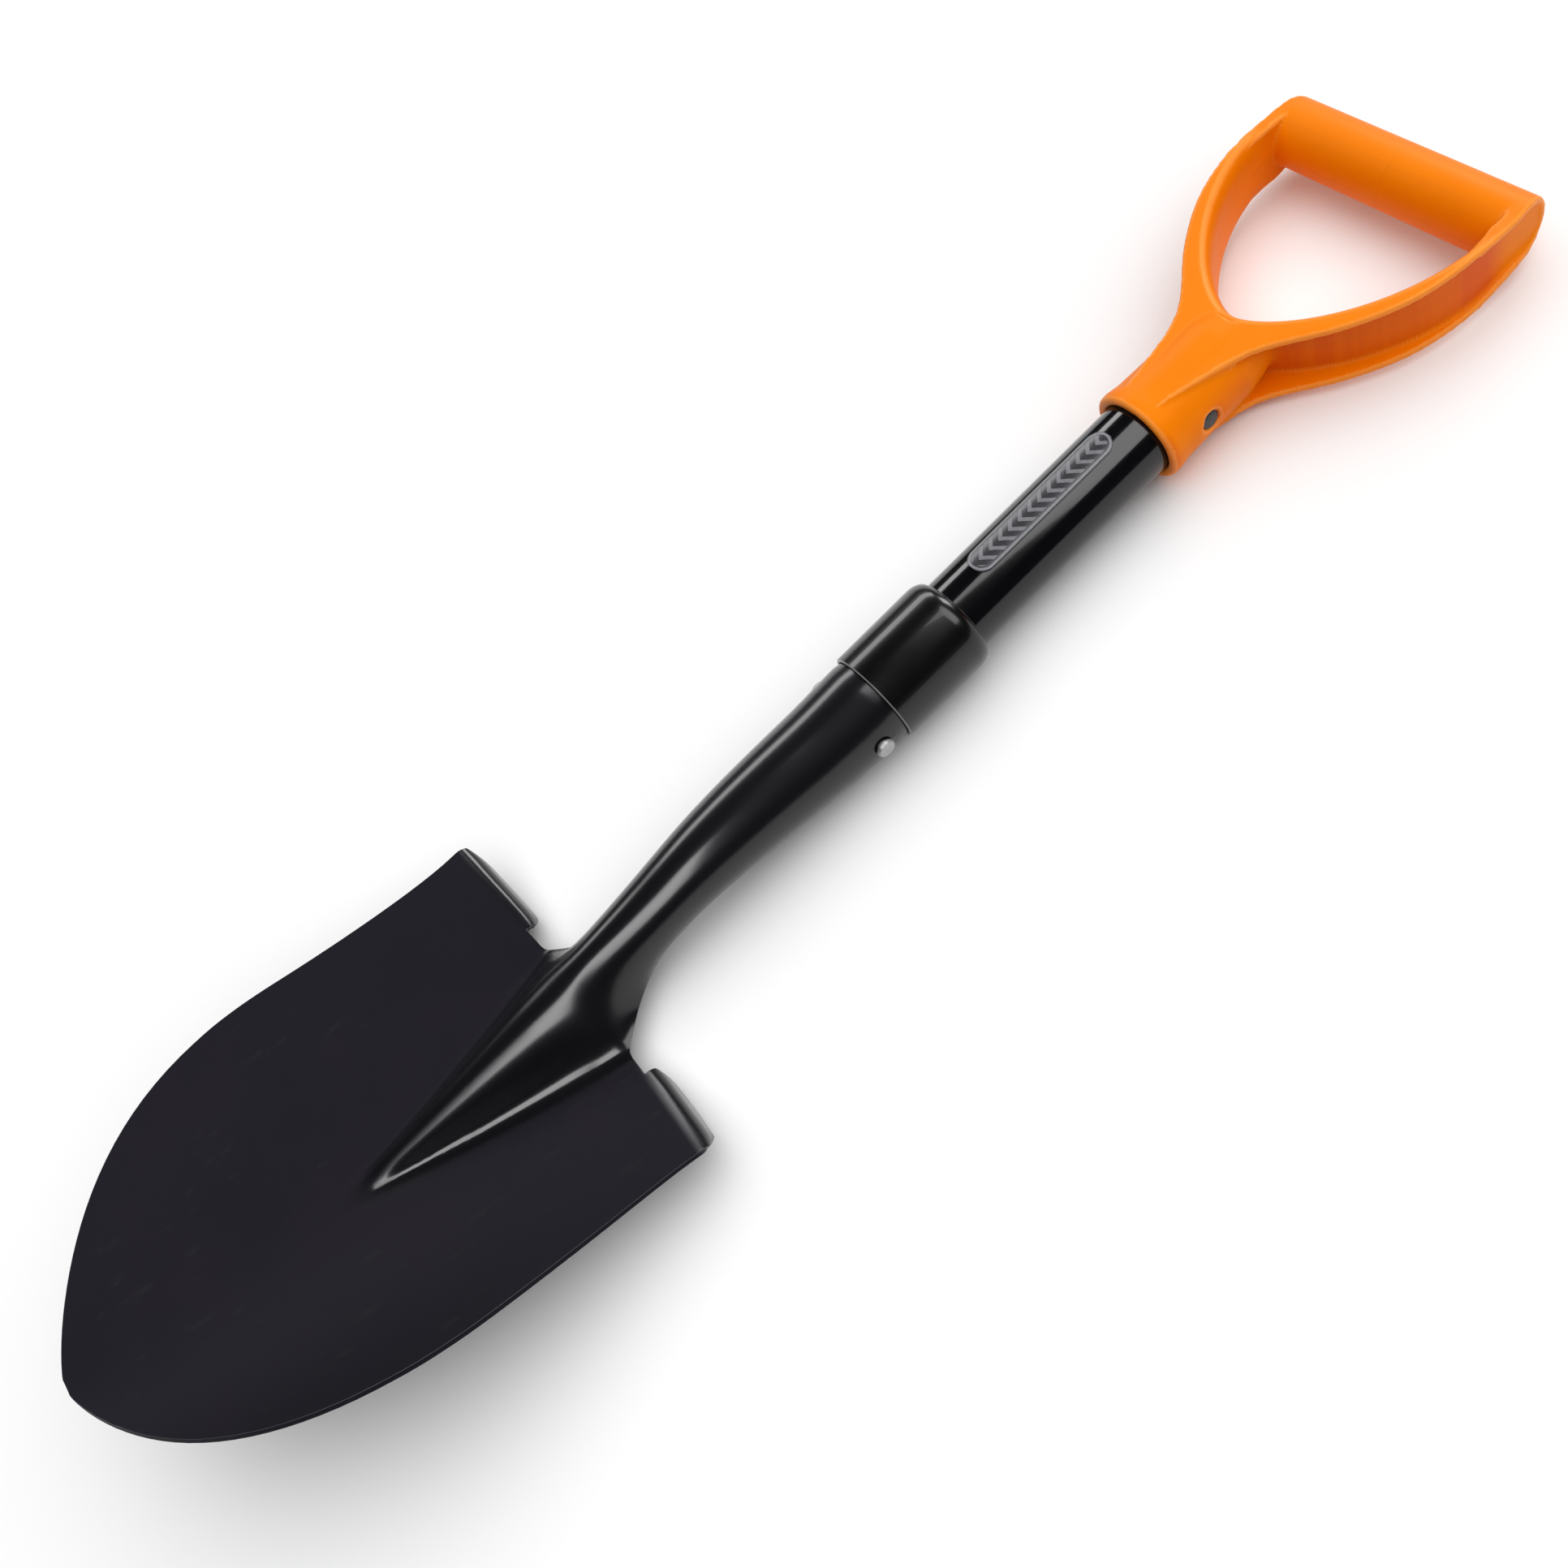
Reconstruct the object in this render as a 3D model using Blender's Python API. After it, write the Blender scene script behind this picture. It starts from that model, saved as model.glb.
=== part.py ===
"""Round point shovel with a short shaft and a D-grip.

The shovel is drawn lying on its back: x runs along the shaft from the blade to the
grip, y runs across it, and z points up out of the dished front of the blade. While it
is drawn, x = 0 is the plane of the two foot steps and z = 0 is the shaft's own axis.
The empty named shovel then carries every piece to its place, so that the finished
object stands on z = 0 with the middle of its box over the origin.
"""
import bpy
import bmesh
from math import asin, cos, exp, pi, radians, sin, sqrt
from mathutils import Vector

MM = 0.001
GAP = 0.3                 # clearance between pieces that touch
ROUND = 48                # sides of the large round pieces

# Blade: one pressed sheet that is also the neck and the socket
SHEET = 2.0
BLADE_LENGTH = 218.0      # foot steps to point
BLADE_HALF_WIDTH = 83.9
SHOULDER_FLARE = 2.6      # extra half width right at the foot steps
POINT_START = 88.0        # where the straight sides turn into the round point
POINT_FULLNESS = 2.2      # larger keeps the sides wide for longer
POINT_BLUNTNESS = 0.665   # smaller makes the end rounder
FLOOR_DROP = 11.4         # bottom of the dish below the shaft axis, at the steps
FLOOR_SLOPE = 0.0689
FLOOR_CURVE = 0.000945
DISH_AT_STEPS = 0.00203   # dish height over half width squared
DISH_GROWTH = 0.00001736
STEP_BEND = 5.0           # how far the sheet runs past its face before it is square
STEP_DEPTH = 12.0
STEP_END_DEPTH = 7.0      # the step's back edge is rounded off towards its ends
STEP_END_CURL = 0.5       # share of the bend at the step's ends
STEP_ROUNDING = 0.16      # share of the step over which the bend grows to a full one
NOTCH_HALF_WIDTH = 30.0
STEP_INNER = 42.0         # half distance between the two foot steps

# Frog: the hollow ridge that runs from the blade into the neck
FROG_LENGTH = 109.0
FROG_TAPER = 0.25
RIDGE_HEIGHT = 14.4
RIDGE_FALL = 0.052
FROG_END = 10.0           # length over which the ridge's tip rounds down
FROG_TIP_HALF_WIDTH = 6.0
GRID_CHANGE = 117.0       # past the frog, the grid's rows crowd towards the point

# Neck and socket
NECK_WAIST = 33.5
NECK_FLARE = 19.0         # how slowly the neck's foot draws in
NECK_OPENING = 122.0      # half angle of the roll where it starts
SOCKET_OPENING = 178.5    # half angle where the seam is closed
SEAM_CLOSED = 75.0
NECK_AXIS = [(-5.0, 0.8), (15.0, 1.0), (35.0, 2.6), (60.0, 4.5), (82.0, 4.2), (108.0, 2.2), (121.0, 0.8),
             (130.0, 0.0), (140.0, 0.0)]
SOCKET_RADII = [(-5.0, 15.4), (15.0, 14.8), (33.5, 13.9), (52.6, 14.25), (71.2, 15.5),
                (89.8, 16.7), (108.4, 17.6), (128.0, 18.5), (152.5, 19.2)]
SOCKET_END_RADIUS = 18.4
SOCKET_END = 180.0
SOCKET_RIVET_X = 143.5

# Shaft
SHAFT_RADIUS = 16.0
SHAFT_WALL = 1.8
SHAFT_START = 132.0
SHAFT_END = 340.0
CORE_LENGTH = 44.0

# Collar that covers the joint of shaft and socket
COLLAR_START = 154.8
COLLAR_END = 199.2
COLLAR_RADIUS = 20.2
COLLAR_SHOULDER = 4.2

# D-grip
MOUTH_X = 298.3
MOUTH_RADIUS = 20.35
BARREL_RADIUS = 19.1
GRIP_RIVET_X = 320.5
BAR_X = 445.9
BAR_RADIUS = 13.4
PLATE_HALF = 16.0
FLANGE = 3.1
WEB = 3.2
OPENING_FOOT = 355.4
OPENING_WIDEST = 425.0
OPENING_HALF_WIDTH = 51.7
GRIP_OUTLINE = [(303.5, 7.6), (322.0, 12.0), (335.0, 15.2), (347.0, 20.4), (369.6, 38.9), (391.0, 51.1),
                (414.0, 56.8), (441.0, 57.6), (459.3, 55.0)]
PAD_START = 303.5
PAD_END = 342.0
PAD_RISE = 2.5            # how far the plate stands above its own height where it meets the mouth

# Rivets
RIVET_RADIUS = 3.0
RIVET_HEAD_RADIUS = 4.0
SOCKET_RIVET_SEAT = 19.2
SOCKET_HEAD_HEIGHT = 2.0
GRIP_HEAD_HEIGHT = 1.2
COUNTERBORE_RADIUS = 4.6
COUNTERBORE_SEAT = 17.0

# Label
LABEL_START = 213.5
LABEL_END = 287.0
LABEL_HALF_ANGLE = radians(22.0)
LABEL_THICKNESS = 0.3


def smooth_step(value):
    """0 below 0, 1 above 1, and a smooth rise between."""
    value = min(max(value, 0.0), 1.0)
    return value * value * (3.0 - 2.0 * value)


def curve_value(points, x):
    """Height at x of a smooth curve through (x, height) points."""
    if x <= points[0][0]:
        return points[0][1]
    if x >= points[-1][0]:
        return points[-1][1]
    index = max(i for i, point in enumerate(points[:-1]) if point[0] <= x)

    def slope(i):
        low = max(i - 1, 0)
        high = min(i + 1, len(points) - 1)
        return (points[high][1] - points[low][1]) / (points[high][0] - points[low][0])

    (x0, y0), (x1, y1) = points[index], points[index + 1]
    span = x1 - x0
    t = (x - x0) / span
    return ((2 * t ** 3 - 3 * t ** 2 + 1) * y0 + (t ** 3 - 2 * t ** 2 + t) * span * slope(index)
            + (3 * t ** 2 - 2 * t ** 3) * y1 + (t ** 3 - t ** 2) * span * slope(index + 1))


def spread(low, high, count):
    """count + 1 evenly spaced values from low to high."""
    return [low + (high - low) * i / count for i in range(count + 1)]


# ---------------------------------------------------------------- scene helpers

def clear_scene():
    for item in list(bpy.data.objects):
        bpy.data.objects.remove(item, do_unlink=True)


def make_material(name, colour, roughness, metallic):
    material = bpy.data.materials.new(name)
    material.use_nodes = True
    shader = material.node_tree.nodes["Principled BSDF"]
    shader.inputs["Base Color"].default_value = (*colour, 1.0)
    shader.inputs["Roughness"].default_value = roughness
    shader.inputs["Metallic"].default_value = metallic
    return material


def finish_object(name, bm, parent, material=None, sharp_angle=40.0):
    """Turn a bmesh drawn in millimetres into a smooth-shaded object in metres."""
    bmesh.ops.scale(bm, vec=(MM, MM, MM), verts=bm.verts)
    mesh = bpy.data.meshes.new(name)
    bm.to_mesh(mesh)
    bm.free()
    mesh.shade_smooth()
    mesh.set_sharp_from_angle(angle=radians(sharp_angle))
    item = bpy.data.objects.new(name, mesh)
    bpy.context.collection.objects.link(item)
    item.parent = parent
    if material:
        mesh.materials.append(material)
    else:
        item.hide_render = True
        item.display_type = "WIRE"
    return item


def turned_mesh(profile, axis="x", sides=ROUND):
    """Spin a closed (along, radius) outline about the x or the y axis."""
    bm = bmesh.new()
    turn = Vector((1, 0, 0)) if axis == "x" else Vector((0, 1, 0))
    corners = []
    for along, radius in profile:
        place = (along, 0.0, radius) if axis == "x" else (0.0, along, radius)
        corners.append(bm.verts.new(place))
    edges = [bm.edges.new((corners[i], corners[(i + 1) % len(corners)]))
             for i in range(len(corners))
             if profile[i][1] > 0 or profile[(i + 1) % len(corners)][1] > 0]
    bmesh.ops.spin(bm, geom=corners + edges, axis=turn, cent=(0, 0, 0),
                   angle=2 * pi, steps=sides, use_merge=True)
    bmesh.ops.remove_doubles(bm, verts=bm.verts, dist=0.0001)
    bmesh.ops.recalc_face_normals(bm, faces=bm.faces)
    return bm


def box_loft(rows):
    """Closed body through rectangles, each (x, y_low, y_high, half_height)."""
    bm = bmesh.new()
    loops = []
    for x, low, high, half in rows:
        corners = [(low, -half), (high, -half), (high, half), (low, half)]
        loops.append([bm.verts.new((x, y, z)) for y, z in corners])
    for first, second in zip(loops, loops[1:]):
        for i in range(4):
            j = (i + 1) % 4
            bm.faces.new((first[i], first[j], second[j], second[i]))
    bm.faces.new(loops[0])
    bm.faces.new(list(reversed(loops[-1])))
    bmesh.ops.recalc_face_normals(bm, faces=bm.faces)
    return bm


def combine(item, tool, operation):
    """Add a Boolean modifier that keeps Blender's exact solver."""
    modifier = item.modifiers.new(tool.name, "BOOLEAN")
    modifier.operation = operation
    modifier.object = tool


def rivet_hole(name, x, radius, parent):
    """Cutter for a hole that runs across the shovel at x."""
    bm = turned_mesh([(-40.0, 0.0), (-40.0, radius), (40.0, radius), (40.0, 0.0)], "y", 24)
    bmesh.ops.translate(bm, vec=(x, 0, 0), verts=bm.verts)
    return finish_object(name, bm, parent)


# ---------------------------------------------------------------- blade

def floor_height(s):
    """Height of the dish's middle line, s millimetres from the steps to the point."""
    return -FLOOR_DROP + FLOOR_SLOPE * s + FLOOR_CURVE * s * s


def face_height(s, y):
    """Height of the dished front face without the frog."""
    return floor_height(s) + (DISH_AT_STEPS + DISH_GROWTH * s) * y * y


def half_width(s):
    """Half width of the blade: nearly straight sides, then a round point."""
    flare = SHOULDER_FLARE * exp(-s / 12.0)
    if s <= POINT_START:
        return BLADE_HALF_WIDTH + flare
    t = (s - POINT_START) / (BLADE_LENGTH + 0.5 - POINT_START)
    return BLADE_HALF_WIDTH * (1.0 - t ** POINT_FULLNESS) ** POINT_BLUNTNESS + flare


def frog_half_width(s):
    """Half width of the frog's foot, kept inside the blade near the point."""
    tapered = NOTCH_HALF_WIDTH - FROG_TAPER * (s - STEP_BEND)
    return min(max(tapered, FROG_TIP_HALF_WIDTH), 0.5 * half_width(s))


def frog_height(s):
    """Rise of the frog's ridge above the dish."""
    rise = max(RIDGE_HEIGHT - RIDGE_FALL * s - floor_height(s), 0.0)
    end = min(max((FROG_LENGTH - s) / FROG_END, 0.0), 1.0)
    return rise * sqrt(end * (2.0 - end))


def bell(t):
    """Cross-section of the frog: a round back 1 high, steep flanks and a hollow foot."""
    return max(1.0 - abs(t) ** 2.3, 0.0) ** 1.9


def neck_point(x, t):
    """Point of the neck and socket, t from -1 to 1 from one sheet edge to the other."""
    foot = SOCKET_RADII[2][1] + (NOTCH_HALF_WIDTH - SOCKET_RADII[2][1]) * exp(-(x + STEP_BEND) / NECK_FLARE)
    base = floor_height(STEP_BEND) + DISH_AT_STEPS * foot * foot
    ridge = RIDGE_HEIGHT + 0.5 * RIDGE_FALL * x
    frog = Vector((foot * t, base + (ridge - base) * bell(t)))
    if x > COLLAR_START - 1.0:
        radius = SOCKET_END_RADIUS
    else:
        radius = curve_value(SOCKET_RADII, x)
    opening = NECK_OPENING + (SOCKET_OPENING - NECK_OPENING) * smooth_step(x / SEAM_CLOSED)
    turn = radians(opening) * t
    tube = Vector((radius * sin(turn), curve_value(NECK_AXIS, x) + radius * cos(turn)))
    share = smooth_step((x + STEP_BEND) / (NECK_WAIST + STEP_BEND))
    return frog.lerp(tube, share)


def blade_mesh():
    """The front face of the sheet as one grid: blade, foot steps, neck and socket."""
    bm = bmesh.new()
    middle = spread(-1.0, 1.0, 24)
    inner_share = (STEP_INNER - NOTCH_HALF_WIDTH) / (half_width(STEP_BEND) - NOTCH_HALF_WIDTH)
    outer = [inner_share / 2, inner_share] + spread(inner_share, 1.0, 8)[1:]
    columns = [(-1, f) for f in reversed(outer)] + [(0, t) for t in middle] + [(1, f) for f in outer]

    straight = spread(STEP_BEND, GRID_CHANGE, 24)
    pointed = [GRID_CHANGE + (BLADE_LENGTH - GRID_CHANGE) * sin(pi / 2 * i / 13) for i in range(1, 14)]
    rows = []
    for s in reversed(straight + pointed):
        row = []
        for side, share in columns:
            foot = frog_half_width(s)
            if side:
                y = side * (foot + (half_width(s) - foot) * share)
                z = face_height(s, y)
            else:
                y = foot * share
                z = face_height(s, y) + frog_height(s) * bell(share)
            row.append(bm.verts.new((-s, y, z)))
        rows.append(row)
    for low, high in zip(rows, rows[1:]):
        for i in range(len(columns) - 1):
            bm.faces.new((low[i], high[i], high[i + 1], low[i + 1]))

    # Foot steps: the sheet bends back until it is square to the shaft
    top = rows[-1]
    slope = {}
    step_columns = [i for i, (side, share) in enumerate(columns) if side and share >= inner_share]
    for i in step_columns:
        y = top[i].co.y
        slope[i] = (face_height(STEP_BEND + 1, y) - face_height(STEP_BEND, y))
    previous = {i: top[i] for i in step_columns}
    for stage in spread(0.0, 1.0, 6)[1:] + ["edge"]:
        current = {}
        for i in step_columns:
            share = (columns[i][1] - inner_share) / (1.0 - inner_share)
            curl = STEP_END_CURL + (1.0 - STEP_END_CURL) * smooth_step(min(share, 1.0 - share) / STEP_ROUNDING)
            start = slope[i] / sqrt(1 + slope[i] ** 2)
            radius = STEP_BEND / (1.0 - start)
            centre = top[i].co + Vector((-radius * start, 0, -radius * sqrt(1 - start ** 2)))
            first = asin(start)
            turn = first + (pi / 2 - first) * curl * (1.0 if stage == "edge" else stage)
            place = centre + Vector((radius * sin(turn), 0, radius * cos(turn)))
            if stage == "edge":
                depth = STEP_END_DEPTH + (STEP_DEPTH - STEP_END_DEPTH) * sin(pi * share) ** 0.6
                place += Vector((cos(turn), 0, -sin(turn))) * (depth - radius)
            current[i] = bm.verts.new(place)
        for i in step_columns:
            if i + 1 in current:
                bm.faces.new((previous[i], current[i], current[i + 1], previous[i + 1]))
        previous = current

    # Neck and socket: only the middle columns go on
    first = len(outer)
    low = top[first:first + len(middle)]
    stations = [-2.5, 0.0, 3.0, 6.5, 10.5, 15.0, 20.0, 26.0, NECK_WAIST, 43.0, 53.0, 64.0, 75.0, 90.0, 108.0,
                119.0, 130.0, 140.0, 147.0, COLLAR_START - 2.5, COLLAR_START - 0.5, SOCKET_END]
    for x in stations:
        high = []
        for t in middle:
            y, z = neck_point(x, t)
            high.append(bm.verts.new((x, y, z)))
        for i in range(len(middle) - 1):
            bm.faces.new((low[i], high[i], high[i + 1], low[i + 1]))
        low = high
    return bm


def make_blade(parent, material):
    blade = finish_object("blade", blade_mesh(), parent, material, 50.0)
    sheet = blade.modifiers.new("sheet", "SOLIDIFY")
    sheet.thickness = SHEET * MM
    sheet.offset = -1.0
    sheet.use_even_offset = True
    combine(blade, rivet_hole("cut_blade_rivet", SOCKET_RIVET_X, RIVET_RADIUS + GAP, parent), "DIFFERENCE")
    return blade


# ---------------------------------------------------------------- shaft and collar

def make_shaft(parent, material):
    inner = SHAFT_RADIUS - SHAFT_WALL
    profile = [(SHAFT_START, inner), (SHAFT_START, SHAFT_RADIUS), (SHAFT_END, SHAFT_RADIUS), (SHAFT_END, inner)]
    shaft = finish_object("shaft_tube", turned_mesh(profile), parent, material)
    for name, x in (("cut_shaft_low", SOCKET_RIVET_X), ("cut_shaft_high", GRIP_RIVET_X)):
        combine(shaft, rivet_hole(name, x, RIVET_RADIUS + GAP, parent), "DIFFERENCE")
    return shaft


def make_core(name, start, rivet_x, parent, material):
    """Plug inside the shaft's end, which keeps the rivet from crushing the tube."""
    radius = SHAFT_RADIUS - SHAFT_WALL - GAP
    end = start + CORE_LENGTH
    profile = [(start, 0.0), (start, radius - 1.0), (start + 1.0, radius),
               (end - 1.0, radius), (end, radius - 1.0), (end, 0.0)]
    core = finish_object(name, turned_mesh(profile, sides=32), parent, material)
    combine(core, rivet_hole("cut_" + name, rivet_x, RIVET_RADIUS + GAP, parent), "DIFFERENCE")
    return core


def make_collar(parent, material):
    socket_bore = SOCKET_END_RADIUS + GAP
    shaft_bore = SHAFT_RADIUS + GAP
    profile = [(COLLAR_START, socket_bore), (COLLAR_START, COLLAR_RADIUS - 0.7), (COLLAR_START + 0.7, COLLAR_RADIUS)]
    for turn in spread(0.0, 0.47 * pi, 5):
        profile.append((COLLAR_END - COLLAR_SHOULDER * (1.0 - sin(turn)),
                        COLLAR_RADIUS - COLLAR_SHOULDER * (1.0 - cos(turn))))
    profile += [(COLLAR_END - 0.8, shaft_bore), (SOCKET_END + 1.0, shaft_bore), (SOCKET_END + 1.0, socket_bore)]
    return finish_object("collar", turned_mesh(profile), parent, material)


def make_label(parent, material):
    """Film on the front of the shaft, with round ends."""
    bm = bmesh.new()
    inner = SHAFT_RADIUS + GAP
    width = inner * LABEL_HALF_ANGLE
    rows = []
    cap = spread(0.0, 1.0, 5)[1:]
    places = [LABEL_START + width * (1 - cos(pi / 2 * t)) for t in cap]
    places += [LABEL_END - width * (1 - cos(pi / 2 * t)) for t in reversed(cap)]
    for x in places:
        reach = min(x - LABEL_START, LABEL_END - x, width)
        half = sqrt(width ** 2 - (width - reach) ** 2) / inner
        rows.append([bm.verts.new((x, inner * sin(half * t), inner * cos(half * t))) for t in spread(-1, 1, 8)])
    for low, high in zip(rows, rows[1:]):
        for i in range(8):
            bm.faces.new((low[i], high[i], high[i + 1], low[i + 1]))
    film = finish_object("shaft_label", bm, parent, material, 60.0)
    sheet = film.modifiers.new("film", "SOLIDIFY")
    sheet.thickness = LABEL_THICKNESS * MM
    sheet.offset = 1.0
    return film


# ---------------------------------------------------------------- grip

def opening_half_width(x):
    """Half width of the hand opening."""
    if x >= OPENING_WIDEST:
        return OPENING_HALF_WIDTH
    t = min((OPENING_WIDEST - x) / (OPENING_WIDEST - OPENING_FOOT), 1.0)
    return OPENING_HALF_WIDTH * max(1.0 - t ** 1.7, 0.0) ** 0.657


def grip_half_height(x):
    """Half thickness of the grip seen from its side: flat, then the bar's round nose."""
    if x <= BAR_X:
        pad = PAD_RISE * (1.0 - smooth_step((x - PAD_START) / (PAD_END - PAD_START)))
        return PLATE_HALF + pad + (BAR_RADIUS - PLATE_HALF) * smooth_step((x - 412.0) / (BAR_X - 412.0))
    return sqrt(max(BAR_RADIUS ** 2 - (x - BAR_X) ** 2, 0.0))


def make_grip(parent, material):
    stations = spread(PAD_START, BAR_X, 25) + [BAR_X + BAR_RADIUS * sin(pi / 2 * i / 8) for i in range(1, 8)]
    plate = [(x, -curve_value(GRIP_OUTLINE, x), curve_value(GRIP_OUTLINE, x), grip_half_height(x))
             for x in stations]
    grip = finish_object("d_grip", box_loft(plate), parent, material, 35.0)

    # Channel along the outer side of each arm, and behind the barrel
    channel = spread(330.0, BAR_X, 22) + [BAR_X + 10.5 * sin(pi / 2 * i / 6) for i in range(1, 7)]
    for side, name in ((-1, "cut_channel_left"), (1, "cut_channel_right")):
        rows = []
        for x in channel:
            inner = opening_half_width(x + 2.2) + WEB if x > OPENING_FOOT - 2.2 else 2.0
            low, high = sorted((side * inner, side * 80.0))
            rows.append((x, low, high, max(grip_half_height(x) - FLANGE, 1.5)))
        combine(grip, finish_object(name, box_loft(rows), parent), "DIFFERENCE")

    barrel = [(MOUTH_X, 0.0), (MOUTH_X, MOUTH_RADIUS - 1.0), (MOUTH_X + 1.0, MOUTH_RADIUS),
              (MOUTH_X + 4.0, MOUTH_RADIUS), (MOUTH_X + 9.0, BARREL_RADIUS + 0.4), (GRIP_RIVET_X, BARREL_RADIUS),
              (342.0, BARREL_RADIUS - 0.4), (352.0, PLATE_HALF + 1.0), (359.0, PLATE_HALF - 1.0), (366.0, 12.0),
              (366.0, 0.0)]
    combine(grip, finish_object("join_barrel", turned_mesh(barrel), parent), "UNION")

    # The hand opening stops at the round bar, which is left standing at its far end
    depth = OPENING_WIDEST - OPENING_FOOT
    places = [OPENING_FOOT + 0.15 + depth * (1 - cos(pi / 2 * i / 16)) for i in range(17)] + [BAR_X]
    opening = [(x, -opening_half_width(x), opening_half_width(x), 40.0) for x in places]
    hole = finish_object("cut_opening", box_loft(opening), parent)
    bar = turned_mesh([(-60.0, 0.0), (-60.0, BAR_RADIUS), (60.0, BAR_RADIUS), (60.0, 0.0)], "y", 32)
    bmesh.ops.translate(bar, vec=(BAR_X, 0, 0), verts=bar.verts)
    combine(hole, finish_object("keep_bar", bar, parent), "DIFFERENCE")
    combine(grip, hole, "DIFFERENCE")

    bore = SHAFT_RADIUS + GAP
    combine(grip, finish_object("cut_bore", turned_mesh([(MOUTH_X - 5.0, 0.0), (MOUTH_X - 5.0, bore),
                                                         (SHAFT_END + 1.0, bore), (SHAFT_END + 1.0, 0.0)]),
                                parent), "DIFFERENCE")
    seat = COUNTERBORE_SEAT
    hole = RIVET_RADIUS + GAP
    stepped = turned_mesh([(-40.0, 0.0), (-40.0, COUNTERBORE_RADIUS), (-seat, COUNTERBORE_RADIUS), (-seat, hole),
                           (seat, hole), (seat, COUNTERBORE_RADIUS), (40.0, COUNTERBORE_RADIUS), (40.0, 0.0)],
                          "y", 24)
    bmesh.ops.translate(stepped, vec=(GRIP_RIVET_X, 0, 0), verts=stepped.verts)
    combine(grip, finish_object("cut_grip_rivet", stepped, parent), "DIFFERENCE")
    return grip


# ---------------------------------------------------------------- rivets

def make_rivet(name, x, seat, head_height, parent, material):
    """Rivet across the shaft with a domed head on each side."""
    face = seat + GAP
    profile = [(-face - head_height, 0.0)]
    dome = [(head_height * cos(turn), RIVET_HEAD_RADIUS * sin(turn)) for turn in spread(0.0, pi / 2, 5)[1:]]
    profile += [(-face - rise, radius) for rise, radius in dome]
    profile += [(-face, RIVET_RADIUS), (face, RIVET_RADIUS)]
    profile += [(face + rise, radius) for rise, radius in reversed(dome)]
    profile.append((face + head_height, 0.0))
    bm = turned_mesh(profile, "y", 24)
    bmesh.ops.translate(bm, vec=(x, 0, 0), verts=bm.verts)
    return finish_object(name, bm, parent, material)


# ---------------------------------------------------------------- assembly

def stand_on_floor(root, pieces):
    """Move the empty so the pieces stand on z = 0 with the middle of their box at the origin."""
    bpy.context.view_layer.update()
    graph = bpy.context.evaluated_depsgraph_get()
    points = []
    for piece in pieces:
        evaluated = piece.evaluated_get(graph)
        mesh = evaluated.to_mesh()
        points += [evaluated.matrix_world @ vertex.co for vertex in mesh.vertices]
        evaluated.to_mesh_clear()
    low = [min(point[i] for point in points) for i in range(3)]
    high = [max(point[i] for point in points) for i in range(3)]
    root.location = (-(low[0] + high[0]) / 2, -(low[1] + high[1]) / 2, -low[2])


def build():
    clear_scene()
    root = bpy.data.objects.new("shovel", None)
    bpy.context.collection.objects.link(root)
    steel = make_material("blade_steel", (0.012, 0.012, 0.014), 0.45, 0.3)
    tube = make_material("shaft_black", (0.006, 0.006, 0.007), 0.2, 0.0)
    ferrule = make_material("collar_black", (0.005, 0.005, 0.006), 0.25, 0.0)
    orange = make_material("grip_orange", (0.95, 0.24, 0.005), 0.4, 0.0)
    zinc = make_material("rivet_zinc", (0.45, 0.46, 0.47), 0.35, 1.0)
    resin = make_material("core_resin", (0.35, 0.27, 0.16), 0.8, 0.0)
    silver = make_material("label_film", (0.2, 0.2, 0.22), 0.4, 0.0)

    pieces = [
        make_blade(root, steel),
        make_shaft(root, tube),
        make_core("socket_core", SHAFT_START + 0.5, SOCKET_RIVET_X, root, resin),
        make_core("grip_core", SHAFT_END - 0.5 - CORE_LENGTH, GRIP_RIVET_X, root, resin),
        make_collar(root, ferrule),
        make_label(root, silver),
        make_grip(root, orange),
        make_rivet("socket_rivet", SOCKET_RIVET_X, SOCKET_RIVET_SEAT, SOCKET_HEAD_HEIGHT, root, zinc),
        make_rivet("grip_rivet", GRIP_RIVET_X, COUNTERBORE_SEAT, GRIP_HEAD_HEIGHT, root, zinc),
    ]
    stand_on_floor(root, pieces)


build()
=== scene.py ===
# %% [markdown]
# # A short round point shovel
#
# A pressed steel blade runs into a rolled socket, a black tube is riveted into the
# socket, and an orange D-grip is moulded for the hand. A collar hides the joint of
# socket and tube. The CAD model gives every size, and each step below turns one of its
# plain solids into a piece with soft edges and a real finish.

# %% Load the CAD frame
from math import atan2, cos, degrees, pi, radians, sin

import bmesh
import bpy
from mathutils import Matrix, Vector, kdtree


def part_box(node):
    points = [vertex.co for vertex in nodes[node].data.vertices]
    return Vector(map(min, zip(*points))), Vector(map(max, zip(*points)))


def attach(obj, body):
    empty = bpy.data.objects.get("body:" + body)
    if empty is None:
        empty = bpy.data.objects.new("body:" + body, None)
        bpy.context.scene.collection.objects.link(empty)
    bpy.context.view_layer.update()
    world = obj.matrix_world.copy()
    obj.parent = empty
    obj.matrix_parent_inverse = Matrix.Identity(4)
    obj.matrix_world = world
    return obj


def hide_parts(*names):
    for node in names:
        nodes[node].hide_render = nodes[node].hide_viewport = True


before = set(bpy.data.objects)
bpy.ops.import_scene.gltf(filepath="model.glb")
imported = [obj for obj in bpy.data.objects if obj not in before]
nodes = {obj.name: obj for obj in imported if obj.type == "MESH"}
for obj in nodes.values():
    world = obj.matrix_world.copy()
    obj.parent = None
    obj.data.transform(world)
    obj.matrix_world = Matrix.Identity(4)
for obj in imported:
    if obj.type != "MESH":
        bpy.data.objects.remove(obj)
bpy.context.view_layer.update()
print("CAD nodes:", sorted(nodes))

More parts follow.
